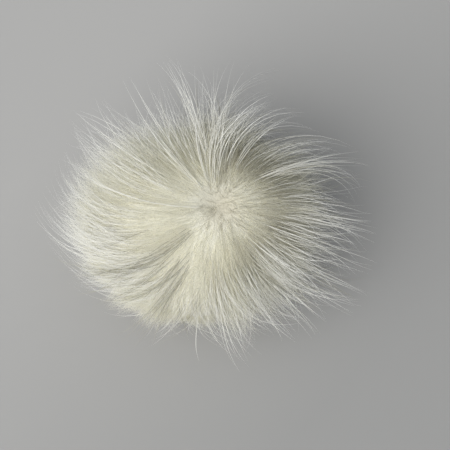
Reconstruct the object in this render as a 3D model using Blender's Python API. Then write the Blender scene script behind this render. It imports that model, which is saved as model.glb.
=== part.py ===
"""A long-haired fur pom pom, lying on its underside, as one closed solid.

The solid is the hair's outer form: an oblate ball of packed underfur with a shallow dimple at the
crown, where the hair parts, uneven locks that run down from the crown and taper to tips round the
waist, and shorter locks that lie over them higher up. It reaches as far as the locks do. The crown
leans a little to the front (-Y). Underneath is the small flat spot that the pom pom lies on, and
the origin is at the centre of that spot.

Directions are measured at the ball's centre, from the crown axis: polar is the angle down from
the crown, azimuth the angle round it, 0 at +X and 90 at the back (+Y).
"""

import math
from collections import namedtuple

import bmesh
import bpy
from mathutils import Matrix

# ---- driving sizes, metres and degrees ----
CENTRE_HEIGHT = 0.0425  # the ball's centre above the flat spot
CROWN_LEAN = 20.0  # how far the crown axis leans from straight up to the front
AROUND, DOWN = 144, 32  # the mesh's steps round the crown axis and from the crown to its far end
CROWDING = 0.25  # radians; how far the steps down are drawn together towards the ball's waist
TUFTS, TUFT_DEPTH = 24, 0.0009  # small tufts side by side between crown and waist
TUFT_TWIST = 1.3  # how far the tufts turn on their way down, in radians of their own round

# The ball of packed underfur: its radius at some angles down from the crown.
Waist = namedtuple("Waist", "polar radius")
BODY = (
    Waist(polar=0, radius=0.0400),  # bottom of the dimple
    Waist(polar=26, radius=0.0435),
    Waist(polar=60, radius=0.0480),
    Waist(polar=92, radius=0.0510),
    Waist(polar=125, radius=0.0485),
    Waist(polar=180, radius=0.0455),
)
SIDE_STRETCH = 0.07  # share by which the ball's waist is longer to the sides than front to back

# The locks. Each row says where the tip points, how far the tip is from the crown axis, how wide
# the lock is where it leaves the ball, and how far round from its tip it starts, in degrees.
Lock = namedtuple("Lock", "azimuth polar reach half_width sweep")
WAIST_LOCKS = (  # from the right, round the back, the left and the front
    Lock(azimuth=11, polar=92, reach=0.0665, half_width=12, sweep=6),
    Lock(azimuth=27, polar=96, reach=0.0575, half_width=9, sweep=-5),
    Lock(azimuth=45, polar=100, reach=0.0560, half_width=13, sweep=8),
    Lock(azimuth=65, polar=97, reach=0.0610, half_width=9, sweep=10),
    Lock(azimuth=83, polar=99, reach=0.0560, half_width=14, sweep=-4),
    Lock(azimuth=107, polar=96, reach=0.0625, half_width=10, sweep=-8),
    Lock(azimuth=127, polar=98, reach=0.0640, half_width=14, sweep=4),
    Lock(azimuth=150, polar=96, reach=0.0665, half_width=11, sweep=9),
    Lock(azimuth=167, polar=94, reach=0.0680, half_width=15, sweep=8),
    Lock(azimuth=185, polar=93, reach=0.0705, half_width=12, sweep=12),
    Lock(azimuth=205, polar=95, reach=0.0680, half_width=15, sweep=7),
    Lock(azimuth=224, polar=94, reach=0.0680, half_width=10, sweep=-6),
    Lock(azimuth=240, polar=93, reach=0.0655, half_width=12, sweep=-4),
    Lock(azimuth=262, polar=92, reach=0.0565, half_width=13, sweep=3),
    Lock(azimuth=281, polar=90, reach=0.0700, half_width=10, sweep=-9),
    Lock(azimuth=299, polar=92, reach=0.0640, half_width=12, sweep=-4),
    Lock(azimuth=313, polar=91, reach=0.0695, half_width=9, sweep=-6),
    Lock(azimuth=327, polar=92, reach=0.0735, half_width=12, sweep=-7),
    Lock(azimuth=344, polar=94, reach=0.0720, half_width=11, sweep=-3),
)
UPPER_LOCKS = (  # shorter, nearer the crown
    Lock(azimuth=20, polar=66, reach=0.0480, half_width=14, sweep=9),
    Lock(azimuth=72, polar=62, reach=0.0445, half_width=12, sweep=-8),
    Lock(azimuth=118, polar=68, reach=0.0475, half_width=15, sweep=6),
    Lock(azimuth=173, polar=70, reach=0.0515, half_width=17, sweep=9),
    Lock(azimuth=214, polar=64, reach=0.0480, half_width=13, sweep=-6),
    Lock(azimuth=250, polar=69, reach=0.0490, half_width=12, sweep=5),
    Lock(azimuth=290, polar=63, reach=0.0480, half_width=14, sweep=-7),
    Lock(azimuth=335, polar=71, reach=0.0525, half_width=15, sweep=-8),
)
LOCKS = WAIST_LOCKS + UPPER_LOCKS
BLEND = 3  # how sharply locks that overlap keep apart; higher is sharper
LOCK_START = 18  # polar angle at which the locks begin to stand out of the ball
LOCK_RISE = 2.2  # how late a lock rises on its way down to its tip; 1 is a straight slope
LOCK_UNDERSIDE = 30  # degrees from a lock's tip down to where its underside meets the ball
TIP_NARROWING = 0.45  # share of its width that a lock has lost at its tip
EDGE_SOFTNESS = 2.1  # how far past its half width a lock's side runs out

FUR_COLOUR = (0.72, 0.70, 0.60, 1.0)
FUR_ROUGHNESS = 0.8


def ease(x):
    """0 to 1 with level ends, for x from 0 to 1."""
    x = min(max(x, 0.0), 1.0)
    return x * x * (3 - 2 * x)


def round_radius(polar):
    """The ball's mean radius at an angle down from the crown, eased between the rows of BODY."""
    for above, below in zip(BODY, BODY[1:]):
        if polar <= below.polar:
            share = ease((polar - above.polar) / (below.polar - above.polar))
            return above.radius + (below.radius - above.radius) * share
    return BODY[-1].radius


def body_radius(polar, azimuth):
    """The ball's radius in one direction, with its waist stretched to the sides."""
    waist = math.sin(math.radians(polar)) ** 2
    return round_radius(polar) * (1 + SIDE_STRETCH * waist * math.cos(2 * math.radians(azimuth)))


def turn_between(a, b):
    """The smaller angle between two azimuths, in degrees."""
    return abs((a - b + 180) % 360 - 180)


def lock_height(lock, polar, azimuth):
    """How far a lock stands out of the ball in one direction."""
    if polar <= lock.polar:
        along = max(polar - LOCK_START, 0) / (lock.polar - LOCK_START)
        profile = along**LOCK_RISE
    else:
        along = 1.0
        profile = 1 - ease((polar - lock.polar) / LOCK_UNDERSIDE)
    middle = lock.azimuth - lock.sweep * (1 - along)
    width = lock.half_width * (1 - TIP_NARROWING * profile)
    across = ease(1 - turn_between(azimuth, middle) / (EDGE_SOFTNESS * width))
    tip_distance = lock.reach / math.sin(math.radians(lock.polar))
    length = tip_distance - body_radius(lock.polar, lock.azimuth)
    return length * profile * across


def tuft_height(polar, azimuth):
    """The small tufts side by side, which fade out at the crown and underneath."""
    fade = math.sin(math.radians(polar)) ** 2
    turn = TUFTS * math.radians(azimuth) + TUFT_TWIST * math.radians(polar)
    return TUFT_DEPTH * fade * math.cos(turn)


def surface_radius(polar, azimuth):
    """The ball, with every lock that stands out in this direction blended into one height."""
    heights = (lock_height(lock, polar, azimuth) for lock in LOCKS)
    blended = sum(height**BLEND for height in heights) ** (1 / BLEND)
    return body_radius(polar, azimuth) + blended + tuft_height(polar, azimuth)


def shape_ball(mesh):
    """Moves each vertex of a unit sphere along its own direction to the hair's surface."""
    for vertex in mesh.verts:
        x, y, z = vertex.co.normalized()
        step = math.acos(max(-1.0, min(1.0, z))) / math.pi
        polar = math.pi * step + CROWDING * math.sin(2 * math.pi * step)
        azimuth = math.atan2(y, x)
        radius = surface_radius(math.degrees(polar), math.degrees(azimuth) % 360)
        level = radius * math.sin(polar)
        height = radius * math.cos(polar)
        vertex.co = (level * math.cos(azimuth), level * math.sin(azimuth), height)


def cut_flat_spot(mesh):
    """Trims the ball at z = 0, closes it with one flat face, and puts that face on the origin."""
    everything = mesh.verts[:] + mesh.edges[:] + mesh.faces[:]
    cut = bmesh.ops.bisect_plane(
        mesh, geom=everything, plane_co=(0, 0, 0), plane_no=(0, 0, 1), clear_inner=True
    )
    rim = [item for item in cut["geom_cut"] if isinstance(item, bmesh.types.BMEdge)]
    flat_spot = bmesh.ops.holes_fill(mesh, edges=rim)["faces"][0]
    middle = flat_spot.calc_center_median_weighted()
    bmesh.ops.translate(mesh, verts=mesh.verts, vec=(-middle.x, -middle.y, 0))


def fur_material():
    material = bpy.data.materials.new("cream_fur")
    material.use_nodes = True
    shader = material.node_tree.nodes["Principled BSDF"]
    shader.inputs["Base Color"].default_value = FUR_COLOUR
    shader.inputs["Roughness"].default_value = FUR_ROUGHNESS
    shader.inputs["Metallic"].default_value = 0.0
    return material


def make_fur_ball(collection):
    mesh = bmesh.new()
    bmesh.ops.create_uvsphere(mesh, u_segments=AROUND, v_segments=DOWN, radius=1.0)
    shape_ball(mesh)
    lean = Matrix.Rotation(math.radians(CROWN_LEAN), 4, "X")
    raise_up = Matrix.Translation((0, 0, CENTRE_HEIGHT))
    bmesh.ops.transform(mesh, matrix=raise_up @ lean, verts=mesh.verts)
    cut_flat_spot(mesh)
    bmesh.ops.recalc_face_normals(mesh, faces=mesh.faces)
    data = bpy.data.meshes.new("fur_ball")
    mesh.to_mesh(data)
    mesh.free()
    data.shade_smooth()
    data.materials.append(fur_material())
    collection.objects.link(bpy.data.objects.new("fur_ball", data))


def main():
    for obj in list(bpy.data.objects):
        bpy.data.objects.remove(obj, do_unlink=True)
    collection = bpy.data.collections.new("pom_pom")
    bpy.context.scene.collection.children.link(collection)
    make_fur_ball(collection)


main()
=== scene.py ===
"""A long-haired, cream white fur pom pom lying on a pale table top.

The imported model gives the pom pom's outer form, and everything here keeps close to it. A soft body
of packed underfur carries the hair: short underfur and a fine haze past it, fine hair that flows
down from the crown, hair round the belly, long guard hairs in small tufts at the rim, on top and
below it, and the long wisps that stand out at the rim.

Hair is worked out round the crown axis, which leans to the front and a little to the right. polar
is the angle down from the crown, azimuth the angle round it (0 right, 90 back, 180 left, 270
front), both in degrees. Lengths in the tables are millimetres.
"""

import math
from collections import namedtuple

import bmesh
import bpy
import numpy as np
from mathutils import Matrix, Vector
from mathutils.bvhtree import BVHTree


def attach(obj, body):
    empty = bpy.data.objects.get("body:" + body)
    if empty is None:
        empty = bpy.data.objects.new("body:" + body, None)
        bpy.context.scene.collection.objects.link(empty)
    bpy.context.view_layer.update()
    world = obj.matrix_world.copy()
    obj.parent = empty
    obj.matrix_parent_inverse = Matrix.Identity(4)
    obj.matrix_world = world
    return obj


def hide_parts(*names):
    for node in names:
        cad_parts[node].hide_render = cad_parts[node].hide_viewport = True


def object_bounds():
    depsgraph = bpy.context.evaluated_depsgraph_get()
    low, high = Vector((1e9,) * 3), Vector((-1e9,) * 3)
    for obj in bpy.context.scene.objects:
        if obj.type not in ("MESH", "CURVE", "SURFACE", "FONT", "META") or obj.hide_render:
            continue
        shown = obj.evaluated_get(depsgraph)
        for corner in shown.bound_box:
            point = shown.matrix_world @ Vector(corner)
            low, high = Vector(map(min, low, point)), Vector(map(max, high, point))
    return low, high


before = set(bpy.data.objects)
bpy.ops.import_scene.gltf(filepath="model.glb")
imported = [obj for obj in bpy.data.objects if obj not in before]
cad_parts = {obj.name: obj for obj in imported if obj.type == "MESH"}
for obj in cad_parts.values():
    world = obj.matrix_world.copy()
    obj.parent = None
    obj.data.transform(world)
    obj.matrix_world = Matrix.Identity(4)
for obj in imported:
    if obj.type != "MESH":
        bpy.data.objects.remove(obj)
cad_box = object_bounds()

MM = 0.001
CROWN_LEAN, CROWN_ROLL = 21.5, 3.5  # how far the crown axis leans to the front and to the right
CENTRE = np.array([0.0, 0.0, (cad_box[0].z + cad_box[1].z) / 2])
TABLE_GAP = 0.15 * MM  # how far above the table the lowest hair lies
PRESS = 1.6 * MM  # how softly hair bends where it meets the table
PRESSED_BELOW = 30  # presses above the table; higher up, the bend is nil
TINTS = 128  # narrow columns across a strand map, each with a tint of its own
PAINTED_SHADE_FROM = 104  # the columns from here on are the hairs darkened with painted shade

# How the fur lies on each side: how far the imported underfur (fluff) and the longest hairs (reach)
# go from the crown axis, how much fine haze stands past the underfur, how far round a hair starts
# from where its tip points (sweep), the side's share of the long hairs at the rim and of those
# that lie on top, and what share of its long hairs is darkened with painted shade (grey).
Side = namedtuple("Side", "azimuth fluff haze reach sweep rim top grey")
SIDES = (
    Side(azimuth=0, fluff=37, haze=0.35, reach=64, sweep=4, rim=0.6, top=0.6, grey=0.30),
    Side(azimuth=20, fluff=35, haze=0.25, reach=64, sweep=10, rim=0.45, top=0.4, grey=0.35),
    Side(azimuth=42, fluff=29, haze=0.15, reach=51, sweep=26, rim=0.1, top=0.15, grey=0.40),
    Side(azimuth=65, fluff=29, haze=0.20, reach=59, sweep=20, rim=0.3, top=0.4, grey=0.25),
    Side(azimuth=90, fluff=29, haze=0.40, reach=59, sweep=2, rim=0.2, top=0.25, grey=0.20),
    Side(azimuth=110, fluff=28, haze=0.60, reach=63, sweep=2, rim=0.30, top=0.20, grey=0.12),
    Side(azimuth=127, fluff=32, haze=0.70, reach=62, sweep=8, rim=0.40, top=0.15, grey=0.08),
    Side(azimuth=148, fluff=40, haze=0.90, reach=69, sweep=6, rim=0.8, top=0.20, grey=0.05),
    Side(azimuth=165, fluff=47, haze=1.00, reach=67, sweep=18, rim=1.5, top=0.20, grey=0.03),
    Side(azimuth=182, fluff=52, haze=1.00, reach=73, sweep=22, rim=2.4, top=0.20, grey=0.02),
    Side(azimuth=200, fluff=54, haze=1.00, reach=70, sweep=20, rim=1.9, top=0.10, grey=0.03),
    Side(azimuth=217, fluff=53, haze=1.30, reach=70, sweep=12, rim=0.5, top=0.10, grey=0.06),
    Side(azimuth=238, fluff=51, haze=1.40, reach=67, sweep=3, rim=0.3, top=0.15, grey=0.12),
    Side(azimuth=262, fluff=50, haze=1.20, reach=60, sweep=-4, rim=0.15, top=0.10, grey=0.12),
    Side(azimuth=281, fluff=46, haze=0.80, reach=69, sweep=-11, rim=0.8, top=0.30, grey=0.12),
    Side(azimuth=300, fluff=42, haze=0.60, reach=66, sweep=-10, rim=0.9, top=0.60, grey=0.20),
    Side(azimuth=318, fluff=40, haze=0.40, reach=72, sweep=-6, rim=1.1, top=0.80, grey=0.30),
    Side(azimuth=335, fluff=38, haze=0.35, reach=75, sweep=-3, rim=1.0, top=0.80, grey=0.35),
)

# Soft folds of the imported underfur: where the middle of each lies, how far down from the crown it
# begins and ends, how wide it is, how high (below zero for a valley), and how much it turns round.
Fold = namedtuple("Fold", "azimuth begins ends width height turn")
FOLDS = (
    Fold(azimuth=84, begins=-2, ends=66, width=16, height=-2.0, turn=-14),
    Fold(azimuth=50, begins=40, ends=110, width=15, height=-2.2, turn=-18),
    Fold(azimuth=226, begins=2, ends=80, width=8, height=-1.2, turn=-16),
    Fold(azimuth=206, begins=-2, ends=66, width=14, height=1.8, turn=-20),
    Fold(azimuth=176, begins=20, ends=90, width=7, height=-0.7, turn=-16),
    Fold(azimuth=146, begins=14, ends=84, width=9, height=-0.8, turn=-8),
    Fold(azimuth=124, begins=-6, ends=92, width=22, height=-1.6, turn=-6),
    Fold(azimuth=250, begins=16, ends=90, width=10, height=0.9, turn=0),
    Fold(azimuth=268, begins=10, ends=80, width=8, height=-0.7, turn=4),
    Fold(azimuth=284, begins=8, ends=84, width=10, height=0.8, turn=8),
    Fold(azimuth=302, begins=12, ends=90, width=8, height=-1.1, turn=8),
    Fold(azimuth=322, begins=16, ends=96, width=10, height=1.0, turn=4),
    Fold(azimuth=340, begins=20, ends=100, width=8, height=-1.1, turn=2),
    Fold(azimuth=2, begins=14, ends=96, width=12, height=0.8, turn=-3),
    Fold(azimuth=352, begins=2, ends=80, width=38, height=3.2, turn=0),
    Fold(azimuth=24, begins=12, ends=90, width=9, height=-0.8, turn=-8),
)

# ---------------------------------------------------------------- shapes round the crown axis


def fur_to_world():
    """The matrix from the crown's own axes to the model's."""
    roll = Matrix.Rotation(math.radians(CROWN_ROLL), 3, "Y")
    return np.array(roll @ Matrix.Rotation(math.radians(CROWN_LEAN), 3, "X"))


def directions(polar, azimuth):
    """Unit vectors in the model's axes, for angles in degrees."""
    p, a = np.radians(polar), np.radians(azimuth)
    level = np.sin(p)
    local = np.stack([level * np.cos(a), level * np.sin(a), np.cos(p)], axis=-1)
    return local @ fur_to_world().T


def ease(x):
    """0 to 1 with level ends, for x from 0 to 1."""
    x = np.clip(x, 0.0, 1.0)
    return x * x * (3 - 2 * x)


Band = namedtuple("Band", "begins over")  # a band of polar angles: where it begins, how wide it is


def through(band, polar):
    """0 above a band of polar angles and 1 below it, eased between."""
    return ease((polar - band.begins) / band.over)


def round_the_sides(azimuth, column):
    """A column of SIDES at any azimuth."""
    at = [side.azimuth for side in SIDES]
    values = [getattr(side, column) for side in SIDES]
    return np.interp(azimuth, at, values, period=360)


POLAR_STEP, AZIMUTH_STEP = 3, 2  # degrees between the measured directions


def measure_cad_form():
    """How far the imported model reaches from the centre, on a grid of directions, in metres."""
    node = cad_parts["fur_ball"]
    corners = [v.co.copy() for v in node.data.vertices]
    tree = BVHTree.FromPolygons(corners, [tuple(p.vertices) for p in node.data.polygons])
    polars = np.arange(0, 180 + POLAR_STEP, POLAR_STEP)
    azimuths = np.arange(0, 360 + AZIMUTH_STEP, AZIMUTH_STEP)
    found = np.zeros((len(polars), len(azimuths)))
    for i, polar in enumerate(polars):
        for j, azimuth in enumerate(azimuths):
            towards = Vector(directions(float(polar), float(azimuth)))
            hit = tree.ray_cast(Vector(CENTRE), towards)
            found[i, j] = hit[3] if hit[3] is not None else 0.0
    return found


CAD_FORM = measure_cad_form()


def form_radius(polar, azimuth):
    """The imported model's radius in any direction, between the measured ones."""
    just_short = CAD_FORM.shape[0] - 1.001  # of the last row, so that there is always a next one
    p = np.clip(np.asarray(polar, float) / POLAR_STEP, 0, just_short)
    a = (np.asarray(azimuth, float) % 360) / AZIMUTH_STEP
    i, j = p.astype(int), a.astype(int)
    u, v = p - i, a - j
    low = CAD_FORM[i, j] * (1 - v) + CAD_FORM[i, j + 1] * v
    high = CAD_FORM[i + 1, j] * (1 - v) + CAD_FORM[i + 1, j + 1] * v
    return low * (1 - u) + high * u


CROWN_FLUFF = 39.0 * MM  # the underfur's radius at the crown
CROWN_DIP, CROWN_DIP_WIDTH = 1.0 * MM, 7.0  # the dimple where the hair parts, and its angle
BASE_FLUFF = 44.5 * MM  # and underneath, where the table presses it flat
WAIST = 90  # polar angle where the underfur is widest
UNDERSIDE = 60  # degrees from the waist down to where the radius is BASE_FLUFF


def fluff_radius(polar, azimuth):
    """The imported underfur's radius: rounded from the crown to the waist and on underneath."""
    polar = np.asarray(polar)
    waist = round_the_sides(azimuth, "fluff") * MM
    above = CROWN_FLUFF + (waist - CROWN_FLUFF) * ease(polar / WAIST)
    above = above - CROWN_DIP * np.exp(-((polar / CROWN_DIP_WIDTH) ** 2))
    below = waist + (BASE_FLUFF - waist) * ease((polar - WAIST) / UNDERSIDE)
    return np.where(polar < WAIST, above, below) + fold_height(polar, azimuth)


FOLD_SPREAD = 1.6  # where this times the polar angle's sine is under 1, a fold widens in angle
FOLD_POINT = 3  # polar angle within which it widens no more
FOLD_ENDS = 1.2  # how gently it rises and runs out; 1 is a plain half wave


def fold_height(polar, azimuth):
    """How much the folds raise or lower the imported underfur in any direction."""
    total = np.zeros(np.broadcast(polar, azimuth).shape)
    for fold in FOLDS:
        along = np.clip((np.asarray(polar) - fold.begins) / (fold.ends - fold.begins), 0, 1)
        middle = fold.azimuth + fold.turn * along
        off = (np.asarray(azimuth) - middle + 180) % 360 - 180
        level = np.sin(np.radians(np.clip(polar, FOLD_POINT, WAIST)))
        across = np.exp(-((off * np.minimum(level * FOLD_SPREAD, 1) / fold.width) ** 2))
        total += fold.height * MM * across * np.sin(math.pi * along) ** FOLD_ENDS
    return total


PARTING_SPREAD, PARTING_REACH = 2.6 * MM, 11.0 * MM  # how loosely hair meets at the crown


def loosen(paths, owner, rng):
    """Shifts the roots near the crown, tuft by tuft, so that they don't all meet in one point."""
    shift = rng.normal(0, PARTING_SPREAD, (owner.max() + 1, 3))[owner][:, None, :]
    crown = fur_to_world()[:, 2]
    off_axis = np.linalg.norm(np.cross(paths - CENTRE, crown), axis=-1, keepdims=True)
    shift = shift - (shift @ crown)[..., None] * crown
    return settle(paths + shift * np.exp(-off_axis / PARTING_REACH))


def settle(points):
    """Bends what would go through the table to lie along it."""
    settled = points.copy()
    height = points[..., 2] / PRESS
    bent = np.log1p(np.exp(np.minimum(height, PRESSED_BELOW)))
    pressed = np.where(height > PRESSED_BELOW, height, bent)
    settled[..., 2] = PRESS * pressed + TABLE_GAP
    return settled


# ---------------------------------------------------------------- strands

Hairs = namedtuple("Hairs", "paths widths tints")
NOD = 0.6  # how much a wave goes up and down, as a share of how much it goes sideways
ROOT_DEPTH = 0.04  # how far below its limit a hair may start, as a share of the underfur's radius
TIP_THINNING = 0.85  # share of its width that a hair has lost at its tip
UPTURN = 1.5  # how much ridges of the hair on top turn up instead of straight out
RIDGE = 0.7  # a strand's height over half its width


def grow(start, tip, steps, rng, sweep, rise=1.0, late=1.6, curl=0.0, wave=0.0, over=0.0):
    """Paths of hairs from start to tip, each (polar, azimuth, radius), in that many points.

    sweep is how far round a hair starts from its tip, rise above 1 keeps it near the body before
    it lifts, late is how late it turns, curl turns its last part round, wave bends it lightly, and
    over keeps it outside this share of the underfur's own radius.
    """
    s = np.linspace(0, 1, steps)[None, :]
    polar = start[0][:, None] + (tip[0] - start[0])[:, None] * s
    turned = np.asarray(sweep)[:, None] * (1 - s**late) + np.asarray(curl)[:, None] * s**3
    radius = start[1][:, None] + (tip[2] - start[1])[:, None] * s**rise
    count = len(tip[0])
    phase = rng.uniform(0, 2 * math.pi, (count, 1))
    pitch = rng.uniform(0.6, 1.3, (count, 1))
    sway = np.asarray(wave)[:, None] * s * np.sin(2 * math.pi * pitch * s + phase)
    azimuth = tip[1][:, None] + turned + sway
    polar = polar + NOD * np.asarray(wave)[:, None] * s * np.cos(2 * math.pi * pitch * s + phase)
    if over:
        share = over - ROOT_DEPTH * (1 - s) ** 4
        radius = np.maximum(radius, fluff_radius(polar, azimuth) * share)
    points = directions(polar, azimuth) * radius[..., None] + CENTRE
    return settle(points)


def taper(count, steps, width, rng, thick_until=0.35):
    """Widths along hairs that are full near the root and run out to a fine tip."""
    s = np.linspace(0, 1, steps)
    profile = 1 - TIP_THINNING * ease((s - thick_until) / (1 - thick_until))
    each = width * rng.uniform(0.75, 1.25, count)
    return each[:, None] * profile[None, :]


def unit(v):
    return v / np.maximum(np.linalg.norm(v, axis=-1, keepdims=True), 1e-12)


def strand_template(steps):
    """One strand's faces: three sides to each step, a point at the tip and a cap at the root."""
    corners, starts, uvs = [], [], []

    def face(indices, places):
        starts.append(len(corners))
        corners.extend(indices)
        uvs.extend(places)

    for j in range(steps - 2):
        v0, v1 = j / (steps - 1), (j + 1) / (steps - 1)
        for k in range(3):
            a, b = 3 * j + k, 3 * j + (k + 1) % 3
            u0, u1 = k / 3, (k + 1) / 3
            face((a, b, b + 3, a + 3), ((u0, v0), (u1, v0), (u1, v1), (u0, v1)))
    tip, last = 3 * (steps - 1), 3 * (steps - 2)
    v0 = (steps - 2) / (steps - 1)
    for k in range(3):
        u0, u1 = k / 3, (k + 1) / 3
        face((last + k, last + (k + 1) % 3, tip), ((u0, v0), (u1, v0), ((u0 + u1) / 2, 1.0)))
    face((2, 1, 0), ((1.0, 0.0), (0.5, 0.02), (0.0, 0.0)))
    return np.array(corners), np.array(starts), np.array(uvs)


def strand_points(hairs, twist):
    """The corners of every strand: three round each point of its path, and one at its tip.

    A strand is a flat wedge: its two edges lie in the fur and its ridge faces outwards, turned
    about its own length by up to twist degrees.
    """
    paths = hairs.paths
    along = np.empty_like(paths)
    along[:, 1:-1] = paths[:, 2:] - paths[:, :-2]
    along[:, 0] = paths[:, 1] - paths[:, 0]
    along[:, -1] = paths[:, -1] - paths[:, -2]
    along = unit(along)
    crown = fur_to_world()[:, 2]
    outwards = unit(paths - CENTRE)
    upwards = np.clip(1.2 * (outwards @ crown + 0.5), -1.0, 1.2)
    across = unit(np.cross(along, outwards + UPTURN * upwards[..., None] * crown))
    ridge = np.cross(across, along)
    uneven = np.sin(np.arange(len(paths)) * 2.4)  # 2.4 radians: no two neighbours alike
    angle = np.radians(twist) * uneven[:, None, None]
    edge = across * np.cos(angle) + ridge * np.sin(angle)
    ridge = ridge * np.cos(angle) - across * np.sin(angle)
    half = hairs.widths[..., None] / 2
    top = paths + ridge * half * RIDGE
    rings = np.stack([paths - edge * half, paths + edge * half, top], axis=2)[:, :-1]
    count, steps = rings.shape[:2]
    rings = rings.reshape(count, steps * 3, 3)
    return np.concatenate([rings, paths[:, -1:]], axis=1)


def strand_piece(name, hairs, material, twist):
    """All these hairs as one mesh of closed, tapered strands, which rides with the model."""
    count, steps = hairs.paths.shape[:2]
    corners, starts, uvs = strand_template(steps)
    points = strand_points(hairs, twist)
    per = points.shape[1]
    base = np.arange(count)
    mesh = bpy.data.meshes.new(name)
    mesh.vertices.add(count * per)
    mesh.vertices.foreach_set("co", points.astype(np.float32).ravel())
    loops = (corners[None, :] + base[:, None] * per).astype(np.int32)
    mesh.loops.add(loops.size)
    mesh.loops.foreach_set("vertex_index", loops.ravel())
    offsets = (starts[None, :] + base[:, None] * len(corners)).astype(np.int32)
    mesh.polygons.add(offsets.size)
    mesh.polygons.foreach_set("loop_start", offsets.ravel())
    mesh.update(calc_edges=True)
    mesh.shade_flat()
    layer = mesh.uv_layers.new(name="OFBake")
    placed = np.empty((count, len(corners), 2), np.float32)
    # each strand's map stays well inside its tint's own column
    placed[..., 0] = (hairs.tints[:, None] + 0.15 + 0.7 * uvs[None, :, 0]) / TINTS
    placed[..., 1] = 0.001 + 0.998 * uvs[None, :, 1]
    layer.data.foreach_set("uv", placed.ravel())
    mesh.materials.append(material)
    piece = bpy.data.objects.new(name, mesh)
    bpy.context.scene.collection.objects.link(piece)
    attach(piece, "root")


# ---------------------------------------------------------------- where the hairs grow


def spread_over_ball(count, rng, lowest, highest=0.0):
    """Random directions, even over the ball between two polar angles, as (polar, azimuth)."""
    low, high = math.cos(math.radians(lowest)), math.cos(math.radians(highest))
    polar = np.degrees(np.arccos(rng.uniform(low, high, count)))
    return polar, rng.uniform(0, 360, count)


OUTFLOW = 30.0  # degrees that underfur leans outwards, at most
INFLOW = 0.5  # share of that by which it leans back up underneath
PARTED = 1.0  # polar angle of the spot at the crown where the hair parts down to its roots
PARTING = 118.0  # polar angle where hair from the crown meets hair from underneath


def outflow(polar):
    """How far hair leans outwards at an angle down from the crown, in degrees."""
    above = np.sin(np.pi * polar / PARTING)
    below = -INFLOW * np.sin(np.pi * (polar - PARTING) / (180 - PARTING))
    return OUTFLOW * np.where(polar < PARTING, above, below)


SWIRL_LIMIT = 1.2  # over the way down to the waist: where the fur's flow stops turning
SWIRL_LATE = 1.6  # how late on that way it turns; 1 is evenly


def swirled(polar):
    """The share of a side's sweep that the fur's flow has turned, at an angle down."""
    return np.clip(polar / WAIST, 0, SWIRL_LIMIT) ** SWIRL_LATE


def swirl(start, end, azimuth):
    """How far round the fur's flow turns between two angles down from the crown, in degrees."""
    return round_the_sides(azimuth, "sweep") * (swirled(end) - swirled(start))


# Where underfur is hidden, and the share of it that is left out there: on top where it lies smooth
# on a side with haze, underneath where belly hair covers it, and close to the crown.
SMOOTH_TOP, SMOOTH_LESS = Band(begins=52, over=35), 0.3
UNDERNEATH, UNDERNEATH_LESS = Band(begins=100, over=25), 0.75
CROWN_SPOT, CROWN_LESS = Band(begins=0, over=22), 0.2


def underfur_needed(polar, azimuth):
    """The share of the underfur that is grown in each direction."""
    smooth = round_the_sides(azimuth, "haze") * (1 - through(SMOOTH_TOP, polar))
    needed = 1.0 - SMOOTH_LESS * smooth - UNDERNEATH_LESS * through(UNDERNEATH, polar)
    return needed - CROWN_LESS * (1 - through(CROWN_SPOT, polar))


# How loose the underfur's surface is, as a share of its radius: nearly flat on top, with a fringe
# from some way down that is deeper and lower on the sides with more haze.
FLAT, FRINGE, FRINGE_MORE = 0.008, 0.08, 0.10
FRINGE_FROM, FRINGE_LOWER, FRINGE_OVER = 58, 18, 34  # degrees down from the crown


def looseness(polar, azimuth):
    fullness = round_the_sides(azimuth, "haze")
    fringe = ease((polar - FRINGE_FROM - FRINGE_LOWER * fullness) / FRINGE_OVER)
    return FLAT + (FRINGE + FRINGE_MORE * fullness) * fringe


CROWN_TANGLE, TANGLE_WIDTH = 12, 10  # how much hair points astray at the crown, and how far out


def underfur(count, steps, width, rng, lowest):
    """Short, soft hairs all over, from inside the body to about the fluff's own surface."""
    polar, azimuth = spread_over_ball(count * 2, rng, lowest)
    kept = rng.uniform(0, 1, len(polar)) < underfur_needed(polar, azimuth)
    polar, azimuth = polar[kept][:count], azimuth[kept][:count]
    count = len(polar)
    lean = outflow(polar) * rng.uniform(0.6, 1.3, count)
    end = np.clip(polar + lean, 0, 178)
    depth = looseness(end, azimuth)
    tip_reach = fluff_radius(end, azimuth) * (1 + depth * rng.uniform(-1.0, 0.8, count))
    root_reach = fluff_radius(polar, azimuth) * (0.98 - depth * rng.uniform(0.6, 1.4, count))
    sweep = 1.2 * swirl(polar, end, azimuth) + rng.normal(0, 3.5, count)
    sweep += CROWN_TANGLE * rng.normal(0, 1, count) * np.exp(-((polar / TANGLE_WIDTH) ** 2))
    curl = rng.normal(0, 2, count)
    wave = rng.uniform(0.3, 1.1, count)
    paths = grow(
        (polar, root_reach), (end, azimuth, tip_reach), steps, rng, sweep,
        rise=0.8, curl=curl, wave=wave,
    )
    paths = loosen(paths, np.arange(count), rng)
    # painted shade on most hairs that start close to the crown
    tints = np.where(
        near_crown(polar, rng), rng.integers(PAINTED_SHADE_FROM, TINTS, count),
        rng.integers(0, PAINTED_SHADE_FROM, count),
    )
    return Hairs(paths, taper(count, steps, width, rng), tints)


# painted shade on hairs near the crown: the band down from it where this gives out, and the share at
# most
CROWN_SHADE_BAND, CROWN_SHADE_SHARE = Band(begins=3, over=12), 0.9


def near_crown(polar, rng):
    """Picks most of the hairs that start close to the crown, which get painted shade there."""
    return rng.uniform(0, 1, len(polar)) < CROWN_SHADE_SHARE * (1 - through(CROWN_SHADE_BAND, polar))


BELLY_LOWEST, BELLY_HIGHEST = 152, 84  # polar angles between which the belly hair grows


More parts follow.
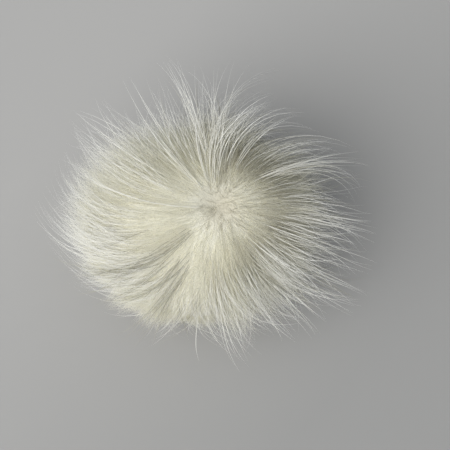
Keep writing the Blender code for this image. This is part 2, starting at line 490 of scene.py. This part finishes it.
def belly_hair(count, steps, width, rng):
    """Hair on the lower half, which hangs down over it to the table."""
    polar, azimuth = spread_over_ball(count, rng, BELLY_LOWEST, BELLY_HIGHEST)
    end = polar + rng.uniform(14, 26, count)
    tip_reach = fluff_radius(end, azimuth) * rng.uniform(1.0, 1.12, count)
    root_reach = fluff_radius(polar, azimuth) * rng.uniform(0.86, 0.96, count)
    sweep = rng.normal(0, 5, count)
    paths = grow(
        (polar, root_reach), (end, azimuth, tip_reach), steps, rng, sweep,
        curl=rng.normal(0, 4, count), wave=rng.uniform(0.3, 1.5, count),
    )
    return Hairs(paths, taper(count, steps, width, rng), rng.integers(0, PAINTED_SHADE_FROM, count))


FLOW_TUFT = 7  # hairs in one of the loose tufts that flow down from the crown
FLOW_FROM, FLOW_SPREAD = 7, 32  # where the first start, and over how many degrees down the rest do


def flow_hair(count, steps, width, rng):
    """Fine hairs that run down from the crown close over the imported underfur, in loose tufts."""
    owner = np.arange(count) // FLOW_TUFT
    groups = count // FLOW_TUFT + 1
    tufts = side_tufts(groups, lambda a: 1.15 - round_the_sides(a, "haze"), rng)
    azimuth = (tufts[owner] + rng.normal(0, 4, count)) % 360
    start = FLOW_FROM + FLOW_SPREAD * np.sqrt(rng.uniform(0, 1, count))
    end = np.minimum(start + rng.uniform(26, 48, count), 88)
    lift = rng.uniform(0, 0.02, groups)[owner]
    tip_reach = fluff_radius(end, azimuth) * (1.0 + lift + rng.uniform(-0.005, 0.015, count))
    root_reach = fluff_radius(start, azimuth) * rng.uniform(0.965, 0.99, count)
    sweep = 1.1 * swirl(start, end, azimuth) + rng.normal(0, 4, count)
    paths = grow(
        (start, root_reach), (end, azimuth, tip_reach), steps, rng, sweep,
        rise=0.6, curl=rng.normal(0, 3, count), wave=rng.uniform(0.3, 1.5, count),
    )
    paths = loosen(paths, owner, rng)
    # painted shade on most hairs that start close to the crown, and on each side's share
    tints = np.where(
        near_crown(start, rng), rng.integers(PAINTED_SHADE_FROM, TINTS, count), side_tints(azimuth, rng)
    )
    return Hairs(paths, taper(count, steps, width, rng), tints)


HAZE_LENGTH = 0.42  # how far the longest haze stands out, as a share of the underfur's radius
HAZE_LIMIT = 0.97  # and at most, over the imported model's own reach


def haze(count, steps, width, rng):
    """The finest hairs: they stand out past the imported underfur, so that its edge fades away."""
    azimuth = side_tufts(count, lambda a: round_the_sides(a, "haze"), rng)
    end = rng.uniform(58, 112, count)
    start = end - rng.uniform(18, 32, count)
    out = 1.0 + HAZE_LENGTH * rng.beta(1.3, 2.0, count)
    limit = np.maximum(HAZE_LIMIT * form_radius(end, azimuth), 30 * MM)
    tip_reach = np.minimum(fluff_radius(end, azimuth) * out, limit)
    root_reach = fluff_radius(start, azimuth) * rng.uniform(0.84, 0.95, count)
    sweep = 1.1 * swirl(start, end, azimuth) + rng.normal(0, 5, count)
    curl = rng.normal(0, 3, count)
    wave = rng.uniform(0.3, 1.6, count)
    paths = grow(
        (start, root_reach), (end, azimuth, tip_reach), steps, rng, sweep, curl=curl, wave=wave
    )
    tints = rng.integers(0, PAINTED_SHADE_FROM, count)
    return Hairs(paths, taper(count, steps, width, rng), tints)


def side_tints(azimuth, rng):
    """A tint for each hair, with each side's share of hairs darkened with painted shade."""
    shade_picked = rng.uniform(0, 1, len(azimuth)) < round_the_sides(azimuth, "grey")
    pale = rng.integers(0, PAINTED_SHADE_FROM, len(azimuth))
    return np.where(shade_picked, rng.integers(PAINTED_SHADE_FROM, TINTS, len(azimuth)), pale)


def side_tufts(count, share, rng):
    """Azimuths of tufts, drawn so that each side has its share."""
    azimuth = rng.uniform(0, 360, count * 8)
    wanted = share(azimuth)
    kept = rng.uniform(0, 1, len(azimuth)) < wanted / wanted.max()
    return azimuth[kept][:count]


GUARD_STEPS = 9  # points along a guard hair
GUARD_WIDTH = 0.13 * MM
ALIKE = 0.85  # width of the guard hairs, over GUARD_WIDTH, where few of them carry painted shade
COARSENESS, COARSE_SHARES = (0.7, 1.15, 2.1), (0.5, 0.32, 0.18)  # and where many are
FULLY_COARSE = 0.3  # the share of hairs with painted shade from which all widths are so
PAST_FORM = 1.12  # how far guard hairs may reach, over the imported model's own reach


def guard_hairs(count, share, rng, polar, reach, start, spread):
    """Long, smooth hairs in small tufts whose tips draw together.

    polar is the range of the angle down from the crown at which they end, reach how far from the
    crown axis, as a share of the side's reach, start where they leave the underfur, as a share of
    the way to the tip, and spread how far apart a tuft's roots are.
    """
    tufts = side_tufts(count, share, rng)
    each = rng.choice((1, 2, 3, 4, 6), len(tufts), p=(0.3, 0.25, 0.2, 0.15, 0.1))
    owner = np.repeat(np.arange(len(tufts)), each)[:count]
    tip_polar = rng.uniform(*polar, len(tufts))[owner] + rng.normal(0, 1.5, count)
    tip_azimuth = tufts[owner] + rng.normal(0, 1.6, count)
    length = rng.uniform(*reach, len(tufts))[owner] * rng.uniform(0.9, 1.03, count)
    out = round_the_sides(tip_azimuth, "reach") * MM * length
    tip_reach = out / np.sin(np.radians(tip_polar))
    tip_reach = np.maximum(tip_reach, fluff_radius(tip_polar, tip_azimuth) * 1.03)
    tip_reach = np.minimum(tip_reach, form_radius(tip_polar, tip_azimuth) * PAST_FORM)
    sweep = round_the_sides(tip_azimuth, "sweep") + rng.normal(0, 4, len(tufts))[owner]
    sweep += rng.normal(0, spread, count)
    start_polar = tip_polar * rng.uniform(*start, len(tufts))[owner]
    start_polar *= rng.uniform(0.9, 1.1, count)
    root_reach = fluff_radius(start_polar, tip_azimuth + sweep) * rng.uniform(0.95, 1.0, count)
    curl = rng.normal(0, 2.5, len(tufts))[owner] + rng.normal(0, 1.5, count)
    wave = rng.uniform(0.1, 0.8, count)
    paths = grow(
        (start_polar, root_reach), (tip_polar, tip_azimuth - curl, tip_reach), GUARD_STEPS, rng,
        sweep, rise=1.3, curl=curl, wave=wave, over=1.0,
    )
    # painted shade on each side's share of the hairs
    tints = side_tints(tip_azimuth, rng)
    coarse = rng.choice(COARSENESS, count, p=COARSE_SHARES)
    uneven = np.clip(round_the_sides(tip_azimuth, "grey") / FULLY_COARSE, 0, 1)
    thick = GUARD_WIDTH * (ALIKE * (1 - uneven) + coarse * uneven)
    widths = taper(count, GUARD_STEPS, 1.0, rng, thick_until=0.55) * thick[:, None]
    return Hairs(paths, widths, tints)


# The long wisps that stand out at the rim: where the tip is and where the wisp leaves the fur
# (azimuth and distance from the crown axis), how far its end curls round, how many hairs it has,
# how far they fan out, in degrees, and whether they are darkened with painted shade.
Wisp = namedtuple("Wisp", "azimuth reach start_azimuth start curl hairs fan grey")
WISPS = (
    Wisp(azimuth=181, reach=74, start_azimuth=216, start=30, curl=-6, hairs=9, fan=3.0, grey=0),
    Wisp(azimuth=160, reach=66, start_azimuth=182, start=9, curl=-3, hairs=3, fan=0.7, grey=0),
    Wisp(azimuth=166, reach=66, start_azimuth=188, start=32, curl=-5, hairs=4, fan=2.0, grey=0),
    Wisp(azimuth=147, reach=71, start_azimuth=142, start=34, curl=4, hairs=2, fan=0.8, grey=0),
    Wisp(azimuth=146, reach=70, start_azimuth=150, start=30, curl=0, hairs=3, fan=1.0, grey=0),
    Wisp(azimuth=138, reach=68, start_azimuth=153, start=30, curl=-2, hairs=1, fan=0.0, grey=0),
    Wisp(azimuth=126, reach=63, start_azimuth=137, start=14, curl=0, hairs=1, fan=0.0, grey=0),
    Wisp(azimuth=122, reach=62, start_azimuth=129, start=32, curl=0, hairs=3, fan=2.0, grey=0),
    Wisp(azimuth=107, reach=64, start_azimuth=104, start=30, curl=2, hairs=8, fan=3.0, grey=0),
    Wisp(azimuth=129, reach=50, start_azimuth=134, start=12, curl=0, hairs=3, fan=4.0, grey=0),
    Wisp(azimuth=92, reach=46, start_azimuth=116, start=12, curl=-3, hairs=4, fan=3.0, grey=0),
    Wisp(azimuth=72, reach=50, start_azimuth=104, start=11, curl=-3, hairs=6, fan=4.0, grey=0),
    Wisp(azimuth=57, reach=48, start_azimuth=98, start=12, curl=-3, hairs=5, fan=4.0, grey=0),
    Wisp(azimuth=90, reach=60, start_azimuth=92, start=30, curl=1, hairs=2, fan=1.0, grey=0),
    Wisp(azimuth=80, reach=62, start_azimuth=90, start=30, curl=-2, hairs=3, fan=3.0, grey=0),
    Wisp(azimuth=63, reach=61, start_azimuth=104, start=20, curl=-4, hairs=3, fan=1.0, grey=0),
    Wisp(azimuth=65, reach=49, start_azimuth=77, start=20, curl=0, hairs=3, fan=1.5, grey=0),
    Wisp(azimuth=53, reach=47, start_azimuth=66, start=22, curl=0, hairs=3, fan=2.0, grey=0),
    Wisp(azimuth=41, reach=52, start_azimuth=67, start=18, curl=-6, hairs=2, fan=1.0, grey=0),
    Wisp(azimuth=25, reach=55, start_azimuth=28, start=30, curl=2, hairs=2, fan=1.0, grey=0),
    Wisp(azimuth=18, reach=65, start_azimuth=36, start=20, curl=7, hairs=3, fan=1.0, grey=0),
    Wisp(azimuth=14, reach=67, start_azimuth=34, start=20, curl=5, hairs=4, fan=1.0, grey=0),
    Wisp(azimuth=5, reach=63, start_azimuth=30, start=24, curl=-7, hairs=3, fan=1.2, grey=0),
    Wisp(azimuth=0, reach=60, start_azimuth=28, start=26, curl=-9, hairs=2, fan=1.0, grey=0),
    Wisp(azimuth=349, reach=70, start_azimuth=354, start=30, curl=0, hairs=7, fan=2.0, grey=0),
    Wisp(azimuth=338, reach=75, start_azimuth=338, start=36, curl=2, hairs=3, fan=1.5, grey=0),
    Wisp(azimuth=327, reach=76, start_azimuth=322, start=36, curl=-1, hairs=6, fan=2.5, grey=0),
    Wisp(azimuth=322, reach=77, start_azimuth=314, start=34, curl=-2, hairs=6, fan=2.0, grey=0),
    Wisp(azimuth=313, reach=70, start_azimuth=306, start=30, curl=0, hairs=5, fan=2.0, grey=0),
    Wisp(azimuth=307, reach=71, start_azimuth=302, start=34, curl=-3, hairs=5, fan=1.5, grey=0),
    Wisp(azimuth=300, reach=65, start_azimuth=288, start=30, curl=-3, hairs=7, fan=2.0, grey=0),
    Wisp(azimuth=284, reach=66, start_azimuth=268, start=26, curl=0, hairs=6, fan=2.5, grey=0),
    Wisp(azimuth=279, reach=71, start_azimuth=269, start=34, curl=3, hairs=4, fan=1.5, grey=0),
    Wisp(azimuth=264, reach=67, start_azimuth=260, start=40, curl=3, hairs=1, fan=0.0, grey=0),
    Wisp(azimuth=253, reach=58, start_azimuth=252, start=34, curl=0, hairs=4, fan=4.4, grey=1),
    Wisp(azimuth=239, reach=66, start_azimuth=243, start=28, curl=0, hairs=4, fan=2.9, grey=1),
    Wisp(azimuth=236, reach=69, start_azimuth=240, start=28, curl=0, hairs=4, fan=2.9, grey=1),
    Wisp(azimuth=232, reach=52, start_azimuth=238, start=24, curl=4, hairs=3, fan=2.9, grey=1),
    Wisp(azimuth=222, reach=54, start_azimuth=220, start=16, curl=4, hairs=4, fan=3.8, grey=1),
    Wisp(azimuth=220, reach=67, start_azimuth=232, start=26, curl=-3, hairs=6, fan=4.9, grey=1),
    Wisp(azimuth=210, reach=69, start_azimuth=220, start=34, curl=-3, hairs=5, fan=4.4, grey=1),
    Wisp(azimuth=208, reach=65, start_azimuth=224, start=17, curl=-4, hairs=5, fan=3.8, grey=1),
    Wisp(azimuth=197, reach=71, start_azimuth=221, start=28, curl=-4, hairs=4, fan=3.8, grey=1),
    Wisp(azimuth=197, reach=60, start_azimuth=203, start=30, curl=-1, hairs=3, fan=4.4, grey=1),
)


def wisps(steps, width, rng):
    """The wisps of WISPS, each a few hairs that share a path and fan out a little."""
    rows = [wisp for wisp in WISPS for _ in range(wisp.hairs)]
    count = len(rows)
    fan = np.array([w.fan for w in rows])
    tip_azimuth = np.array([w.azimuth for w in rows]) + fan * rng.normal(0, 1, count)
    start_azimuth = np.array([w.start_azimuth for w in rows]) + fan * rng.normal(0, 1.2, count)
    reach = np.array([w.reach for w in rows]) * MM * rng.uniform(0.93, 1.0, count)
    start = np.array([w.start for w in rows]) * MM * rng.uniform(0.85, 1.1, count)
    waist = 1.04 * round_the_sides(tip_azimuth, "fluff") * MM
    on_top = np.degrees(np.arcsin(np.clip(reach / waist, 0, 1)))
    tip_polar = np.minimum(on_top, rng.uniform(84, 92, count))
    curl = np.array([w.curl for w in rows]) + fan * rng.normal(0, 0.8, count)
    on_body = np.clip(start / (CROWN_FLUFF * 1.08), 0, 0.98)
    start_polar = np.degrees(np.arcsin(on_body))
    root_reach = fluff_radius(start_polar, start_azimuth) * 0.97
    wave = rng.uniform(0.1, 0.5, count)
    paths = grow(
        (start_polar, root_reach),
        (tip_polar, tip_azimuth - curl, reach / np.sin(np.radians(tip_polar))), steps, rng,
        start_azimuth - (tip_azimuth - curl), rise=1.2, late=1.0, curl=curl, wave=wave, over=1.03,
    )
    # painted shade on the wisps marked for it
    grey = np.array([w.grey for w in rows])
    tints = np.where(
        grey > 0, rng.integers(PAINTED_SHADE_FROM, TINTS, count), rng.integers(0, PAINTED_SHADE_FROM, count)
    )
    return Hairs(paths, taper(count, steps, width, rng, thick_until=0.5), tints)


# ---------------------------------------------------------------- materials


def add_node(tree, kind, x, y, **settings):
    node = tree.nodes.new(kind)
    node.location = (x, y)
    for key, value in settings.items():
        setattr(node, key, value)
    return node


def new_material(name):
    material = bpy.data.materials.new(name)
    material.use_nodes = True
    material.node_tree.nodes.clear()
    return material


def colour_ramp(tree, stops, x, y):
    ramp = add_node(tree, "ShaderNodeValToRGB", x, y)
    elements = ramp.color_ramp.elements
    while len(elements) > 1:
        elements.remove(elements[-1])
    elements[0].position, elements[0].color = stops[0][0], (*stops[0][1], 1)
    for place, colour in stops[1:]:
        elements.new(place).color = (*colour, 1)
    return ramp


def hair_material(name, along, tint_range, grey, gloss, glow):
    """Fur hair: a colour from root to tip, a tint for each strand, and light shining through.

    along is the colour from root to tip, tint_range the darkest and lightest tint, grey the colour
    that the hairs with painted shade are multiplied by, gloss the roughness, and glow the share of
    light that passes through the hair.
    """
    material = new_material(name)
    tree = material.node_tree
    link = tree.links.new
    place = add_node(tree, "ShaderNodeUVMap", -1300, 0, uv_map="OFBake")
    split = add_node(tree, "ShaderNodeSeparateXYZ", -1120, 0)
    link(place.outputs["UV"], split.inputs[0])
    ramp = colour_ramp(tree, along, -900, 200)
    link(split.outputs["Y"], ramp.inputs["Fac"])
    wide = add_node(tree, "ShaderNodeMath", -940, -120, operation="MULTIPLY")
    wide.inputs[1].default_value = TINTS
    link(split.outputs["X"], wide.inputs[0])
    column = add_node(tree, "ShaderNodeMath", -780, -120, operation="FLOOR")
    link(wide.outputs[0], column.inputs[0])
    noise = add_node(tree, "ShaderNodeTexWhiteNoise", -620, -120, noise_dimensions="1D")
    link(column.outputs[0], noise.inputs["W"])
    spread = add_node(tree, "ShaderNodeMapRange", -460, -120)
    spread.inputs["To Min"].default_value = tint_range[0]
    spread.inputs["To Max"].default_value = tint_range[1]
    link(noise.outputs["Value"], spread.inputs["Value"])
    tinted = add_node(
        tree, "ShaderNodeMix", -280, 120, data_type="RGBA", blend_type="MULTIPLY"
    )
    tinted.inputs["Factor"].default_value = 1.0
    link(ramp.outputs["Color"], tinted.inputs[6])
    link(spread.outputs["Result"], tinted.inputs[7])
    # painted shade: hairs in the last tint columns are multiplied by a darker colour
    shade_picked = add_node(tree, "ShaderNodeMath", -460, -340, operation="GREATER_THAN")
    shade_picked.inputs[1].default_value = PAINTED_SHADE_FROM - 0.5
    link(column.outputs[0], shade_picked.inputs[0])
    painted_shade_mix = add_node(
        tree, "ShaderNodeMix", -100, 120, data_type="RGBA", blend_type="MULTIPLY"
    )
    painted_shade_mix.inputs[7].default_value = (*grey, 1)
    link(shade_picked.outputs[0], painted_shade_mix.inputs["Factor"])
    link(tinted.outputs[2], painted_shade_mix.inputs[6])
    shader = add_node(tree, "ShaderNodeBsdfPrincipled", 120, 200)
    link(painted_shade_mix.outputs[2], shader.inputs["Base Color"])
    shader.inputs["Roughness"].default_value = gloss
    shader.inputs["Specular IOR Level"].default_value = 0.4
    through = add_node(tree, "ShaderNodeBsdfTranslucent", 120, -300)
    link(painted_shade_mix.outputs[2], through.inputs["Color"])
    both = add_node(tree, "ShaderNodeMixShader", 420, 100)
    both.inputs["Fac"].default_value = glow
    link(shader.outputs[0], both.inputs[1])
    link(through.outputs[0], both.inputs[2])
    out = add_node(tree, "ShaderNodeOutputMaterial", 620, 100)
    link(both.outputs[0], out.inputs["Surface"])
    return material


PALER_BELOW, PALEST_BELOW = 68 * MM, 44 * MM  # heights above the table
ROOTS_AND_SHADE_WIDTH, ROOTS_AND_SHADE_MIDDLE = 12.0 * MM, 1.0 * MM  # how far from the parting the roots' tan and the painted shade reach, and where they are strongest
ROOTS_AND_SHADE_SHARE = 0.7  # how much of that tan colour and painted shade shows there


def body_material():
    """Packed underfur seen between the hairs: soft, matt and faintly mottled, with painted shade
    round the crown.
    """
    material = new_material("packed_underfur")
    tree = material.node_tree
    link = tree.links.new
    place = add_node(tree, "ShaderNodeTexCoord", -900, 0)
    mottle = add_node(tree, "ShaderNodeTexNoise", -700, 100)
    mottle.inputs["Scale"].default_value = 160.0
    mottle.inputs["Detail"].default_value = 4.0
    link(place.outputs["Object"], mottle.inputs["Vector"])
    ramp = colour_ramp(
        tree, ((0.3, (0.70, 0.685, 0.585)), (0.7, (0.77, 0.755, 0.655))), -480, 100
    )
    link(mottle.outputs["Fac"], ramp.inputs["Fac"])
    # paler towards the table
    height = add_node(tree, "ShaderNodeSeparateXYZ", -700, 420)
    link(place.outputs["Object"], height.inputs[0])
    low = add_node(tree, "ShaderNodeMapRange", -480, 420)
    low.inputs["From Min"].default_value = PALER_BELOW
    low.inputs["From Max"].default_value = PALEST_BELOW
    link(height.outputs["Z"], low.inputs["Value"])
    paler = add_node(tree, "ShaderNodeMix", -240, 260, data_type="RGBA")
    paler.inputs[7].default_value = (0.76, 0.755, 0.71, 1)
    link(low.outputs["Result"], paler.inputs["Factor"])
    link(ramp.outputs["Color"], paler.inputs[6])
    # painted shade round the crown, in the tan of the hair's roots where it parts
    crown_point = directions(PARTED, 0.0) * CROWN_FLUFF + CENTRE
    off = add_node(tree, "ShaderNodeVectorMath", -700, 640, operation="DISTANCE")
    off.inputs[1].default_value = crown_point
    link(place.outputs["Object"], off.inputs[0])
    near = add_node(tree, "ShaderNodeMapRange", -480, 640)
    near.inputs["From Min"].default_value = ROOTS_AND_SHADE_WIDTH
    near.inputs["From Max"].default_value = ROOTS_AND_SHADE_MIDDLE
    near.inputs["To Max"].default_value = ROOTS_AND_SHADE_SHARE
    link(off.outputs["Value"], near.inputs["Value"])
    roots = add_node(tree, "ShaderNodeMix", -60, 320, data_type="RGBA")
    roots.inputs[7].default_value = (0.58, 0.53, 0.40, 1)
    link(near.outputs["Result"], roots.inputs["Factor"])
    link(paler.outputs[2], roots.inputs[6])
    fuzz = add_node(tree, "ShaderNodeTexNoise", -700, -200)
    fuzz.inputs["Scale"].default_value = 1800.0
    fuzz.inputs["Detail"].default_value = 3.0
    link(place.outputs["Object"], fuzz.inputs["Vector"])
    bump = add_node(tree, "ShaderNodeBump", -300, -200)
    bump.inputs["Strength"].default_value = 0.5
    bump.inputs["Distance"].default_value = 0.4 * MM
    link(fuzz.outputs["Fac"], bump.inputs["Height"])
    shader = add_node(tree, "ShaderNodeBsdfPrincipled", 0, 100)
    link(roots.outputs[2], shader.inputs["Base Color"])
    link(bump.outputs["Normal"], shader.inputs["Normal"])
    shader.inputs["Roughness"].default_value = 0.9
    shader.inputs["Sheen Weight"].default_value = 0.3
    out = add_node(tree, "ShaderNodeOutputMaterial", 300, 100)
    link(shader.outputs[0], out.inputs["Surface"])
    return material


# ---------------------------------------------------------------- the body of underfur

BODY_SHARE = 0.975  # the body's surface at the crown, as a share of the underfur's reach
BODY_DROP = 0.14  # how much less that share is at the waist and below
BODY_DROPS = Band(begins=66, over=36)
BODY_AROUND, BODY_DOWN = 120, 72  # the body's steps round the crown axis and down from the crown


def underfur_body():
    """A closed, soft ball under the hairs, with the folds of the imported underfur."""
    mesh = bpy.data.meshes.new("underfur_body")
    ball = bmesh.new()
    bmesh.ops.create_uvsphere(ball, u_segments=BODY_AROUND, v_segments=BODY_DOWN, radius=1.0)
    ball.to_mesh(mesh)
    ball.free()
    rough = np.empty(len(mesh.vertices) * 3, np.float32)
    mesh.vertices.foreach_get("co", rough)
    local = rough.reshape(-1, 3).astype(float)
    polar = np.degrees(np.arccos(np.clip(local[:, 2], -1, 1)))
    azimuth = np.degrees(np.arctan2(local[:, 1], local[:, 0]))
    share = BODY_SHARE - BODY_DROP * through(BODY_DROPS, polar)
    radius = fluff_radius(polar, azimuth) * share
    points = settle(directions(polar, azimuth) * radius[:, None] + CENTRE)
    mesh.vertices.foreach_set("co", points.astype(np.float32).ravel())
    mesh.update()
    mesh.shade_smooth()
    mesh.materials.append(body_material())
    piece = bpy.data.objects.new("underfur_body", mesh)
    bpy.context.scene.collection.objects.link(piece)
    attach(piece, "root")
    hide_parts("fur_ball")


# ---------------------------------------------------------------- stage, light and camera

VIEW_ELEVATION = 70.0  # degrees up from level
VIEW_DISTANCE = 0.40
VIEW_WIDTH = 0.1845  # how much the picture takes in at the pom pom's centre
VIEW_AIM = (0.0041, -0.0090)  # the picture's centre, right of and up from the pom pom's
SENSOR = 36  # the camera's width inside, in its own millimetres


def add_camera():
    data = bpy.data.cameras.new("camera")
    data.sensor_width = SENSOR
    data.lens = SENSOR * VIEW_DISTANCE / VIEW_WIDTH
    data.clip_start, data.clip_end = 0.01, 20
    camera = bpy.data.objects.new("camera", data)
    bpy.context.scene.collection.objects.link(camera)
    tilt = math.radians(VIEW_ELEVATION)
    back = Vector((0, -math.cos(tilt), math.sin(tilt)))
    up = Vector((0, math.sin(tilt), math.cos(tilt)))
    aim = Vector(CENTRE) + Vector((1, 0, 0)) * VIEW_AIM[0] + up * VIEW_AIM[1]
    camera.location = Vector(CENTRE) + back * VIEW_DISTANCE
    camera.rotation_mode = "QUATERNION"
    camera.rotation_quaternion = (aim - camera.location).to_track_quat("-Z", "Y")
    bpy.context.scene.camera = camera


# The room's light: how strong it is, its colour, the side it comes from, and how narrow it is.
Glow = namedtuple("Glow", "strength colour towards narrowness")
ROOM = Glow(strength=0.16, colour=(0.90, 0.95, 1.0), towards=(0, 0, 1), narrowness=0)
CEILING = Glow(strength=0.32, colour=(0.90, 0.95, 1.0), towards=(0, 0, 1), narrowness=2)
WINDOW = Glow(strength=5.4, colour=(1.0, 0.99, 0.965), towards=(-0.52, -0.48, 0.70), narrowness=9)
JUST_AHEAD = 0.0001  # keeps what lies behind a glow's side out of its power


def add_glow(tree, glow, y):
    """A background that is brightest towards one side and fades with the angle from it."""
    link = tree.links.new
    place = add_node(tree, "ShaderNodeTexCoord", -900, y)
    facing = add_node(tree, "ShaderNodeVectorMath", -700, y, operation="DOT_PRODUCT")
    facing.inputs[1].default_value = Vector(glow.towards).normalized()
    link(place.outputs["Generated"], facing.inputs[0])
    ahead = add_node(tree, "ShaderNodeMath", -520, y, operation="MAXIMUM")
    ahead.inputs[1].default_value = JUST_AHEAD
    link(facing.outputs["Value"], ahead.inputs[0])
    lobe = add_node(tree, "ShaderNodeMath", -360, y, operation="POWER")
    lobe.inputs[1].default_value = glow.narrowness
    link(ahead.outputs[0], lobe.inputs[0])
    bright = add_node(tree, "ShaderNodeMath", -200, y, operation="MULTIPLY")
    bright.inputs[1].default_value = glow.strength
    link(lobe.outputs[0], bright.inputs[0])
    sky = add_node(tree, "ShaderNodeBackground", 0, y)
    sky.inputs["Color"].default_value = (*glow.colour, 1)
    link(bright.outputs[0], sky.inputs["Strength"])
    return sky


def add_lights():
    world = bpy.data.worlds.new("room")
    world.use_nodes = True
    tree = world.node_tree
    tree.nodes.clear()
    total = add_glow(tree, ROOM, 0)
    for step, glow in enumerate((CEILING, WINDOW), 1):
        both = add_node(tree, "ShaderNodeAddShader", 200 * step, -150 * step)
        tree.links.new(total.outputs[0], both.inputs[0])
        tree.links.new(add_glow(tree, glow, -300 * step).outputs[0], both.inputs[1])
        total = both
    out = add_node(tree, "ShaderNodeOutputWorld", 700, 0)
    tree.links.new(total.outputs[0], out.inputs["Surface"])
    bpy.context.scene.world = world


TABLE_HALF = 2.0
TABLE_SHADE_SLOPE = (4.4, -4.0, 0.0)  # painted shade for the light falling off: how the table gets darker, a metre: to the right and the front
# the table's colour where it is lit, and where the painted shade is darkest
TABLE_LIT, TABLE_SHADED = (0.435, 0.43, 0.425), (0.33, 0.328, 0.325)


def table_material():
    material = new_material("pale_table")
    tree = material.node_tree
    place = add_node(tree, "ShaderNodeTexCoord", -900, 0)
    across = add_node(tree, "ShaderNodeVectorMath", -700, 0, operation="DOT_PRODUCT")
    across.inputs[1].default_value = TABLE_SHADE_SLOPE
    tree.links.new(place.outputs["Object"], across.inputs[0])
    middle = add_node(tree, "ShaderNodeMath", -500, 0, operation="ADD")
    middle.inputs[1].default_value = 0.5
    tree.links.new(across.outputs["Value"], middle.inputs[0])
    # painted shade across the table: darker to the right and the front, where the light falls off
    ramp = colour_ramp(tree, ((0.0, TABLE_LIT), (1.0, TABLE_SHADED)), -300, 0)
    tree.links.new(middle.outputs[0], ramp.inputs["Fac"])
    shader = add_node(tree, "ShaderNodeBsdfPrincipled", 0, 0)
    tree.links.new(ramp.outputs["Color"], shader.inputs["Base Color"])
    shader.inputs["Roughness"].default_value = 0.6
    out = add_node(tree, "ShaderNodeOutputMaterial", 300, 0)
    tree.links.new(shader.outputs[0], out.inputs["Surface"])
    return material


def add_floor():
    mesh = bpy.data.meshes.new("table_top")
    half = TABLE_HALF
    corners = [(-half, -half, 0), (half, -half, 0), (half, half, 0), (-half, half, 0)]
    mesh.from_pydata(corners, [], [(0, 1, 2, 3)])
    mesh.materials.append(table_material())
    floor = bpy.data.objects.new("table_top", mesh)
    bpy.context.scene.collection.objects.link(floor)


# ---------------------------------------------------------------- the pom pom


UNDERFUR_LAYERS = 3
SOFT_COLOURS = (  # from root to tip
    (0.0, (0.90, 0.885, 0.80)),
    (0.6, (0.94, 0.93, 0.855)),
    (1.0, (0.95, 0.945, 0.89)),
)
GLOSSY_COLOURS = (
    (0.0, (0.94, 0.93, 0.87)),
    (0.5, (0.98, 0.975, 0.94)),
    (1.0, (1.0, 1.0, 0.99)),
)
GUARD_TWIST = 35  # degrees, so that some of the glossy hairs catch the light and some don't


def side_share(column):
    """The share of the hairs that each side has, for side_tufts."""
    return lambda azimuth: round_the_sides(azimuth, column)


def make_soft_hair():
    """The underfur and all the fine hair."""
    soft = hair_material(
        "underfur_hair", SOFT_COLOURS, tint_range=(0.96, 1.0), grey=(0.7, 0.68, 0.62),
        gloss=0.75, glow=0.5,
    )
    for layer in range(UNDERFUR_LAYERS):
        rng = np.random.default_rng(100 + layer)
        hairs = underfur(9000, 4, 0.10 * MM, rng, lowest=116)
        strand_piece(f"underfur_{layer + 1}", hairs, soft, twist=6)
    fine = haze(14000, 3, 0.09 * MM, np.random.default_rng(150))
    strand_piece("haze", fine, soft, twist=12)
    flow = flow_hair(3000, 7, 0.09 * MM, np.random.default_rng(170))
    strand_piece("flow_hair", flow, soft, twist=8)
    return soft


def make_guard_hair(soft):
    """The long, glossy hairs, and the belly hair between those at the rim and those below."""
    glossy = hair_material(
        "guard_hair", GLOSSY_COLOURS, tint_range=(0.93, 1.0), grey=(0.58, 0.57, 0.51),
        gloss=0.38, glow=0.35,
    )
    rim = guard_hairs(
        2100, side_share("rim"), np.random.default_rng(200),
        polar=(66, 98), reach=(0.56, 1.0), start=(0.42, 0.85), spread=6,
    )
    strand_piece("rim_hair", rim, glossy, GUARD_TWIST)
    belly = belly_hair(11000, 3, 0.17 * MM, np.random.default_rng(160))
    strand_piece("belly_hair", belly, soft, twist=12)
    skirt = guard_hairs(
        1200, lambda a: 1.3 - 0.5 * round_the_sides(a, "haze"), np.random.default_rng(220),
        polar=(96, 128), reach=(0.52, 0.8), start=(0.62, 0.85), spread=6,
    )
    strand_piece("skirt_hair", skirt, glossy, GUARD_TWIST)
    top = guard_hairs(
        560, side_share("top"), np.random.default_rng(210),
        polar=(50, 78), reach=(0.55, 0.88), start=(0.40, 0.80), spread=5,
    )
    strand_piece("top_hair", top, glossy, GUARD_TWIST)
    long = wisps(14, 0.22 * MM, np.random.default_rng(300))
    strand_piece("rim_wisps", long, glossy, GUARD_TWIST)


MOST_BOUNCES, BETWEEN_HAIRS, THROUGH_HAIRS = 32, 24, 12  # pale fur passes light on many times


def set_light_paths():
    cycles = bpy.context.scene.cycles
    cycles.max_bounces = MOST_BOUNCES
    cycles.denoising_prefilter = "NONE"
    cycles.diffuse_bounces = BETWEEN_HAIRS
    cycles.transmission_bounces = THROUGH_HAIRS


def main():
    bpy.context.scene.view_settings.view_transform = "Standard"
    set_light_paths()
    add_camera()
    add_lights()
    add_floor()
    underfur_body()
    soft = make_soft_hair()
    make_guard_hair(soft)


main()
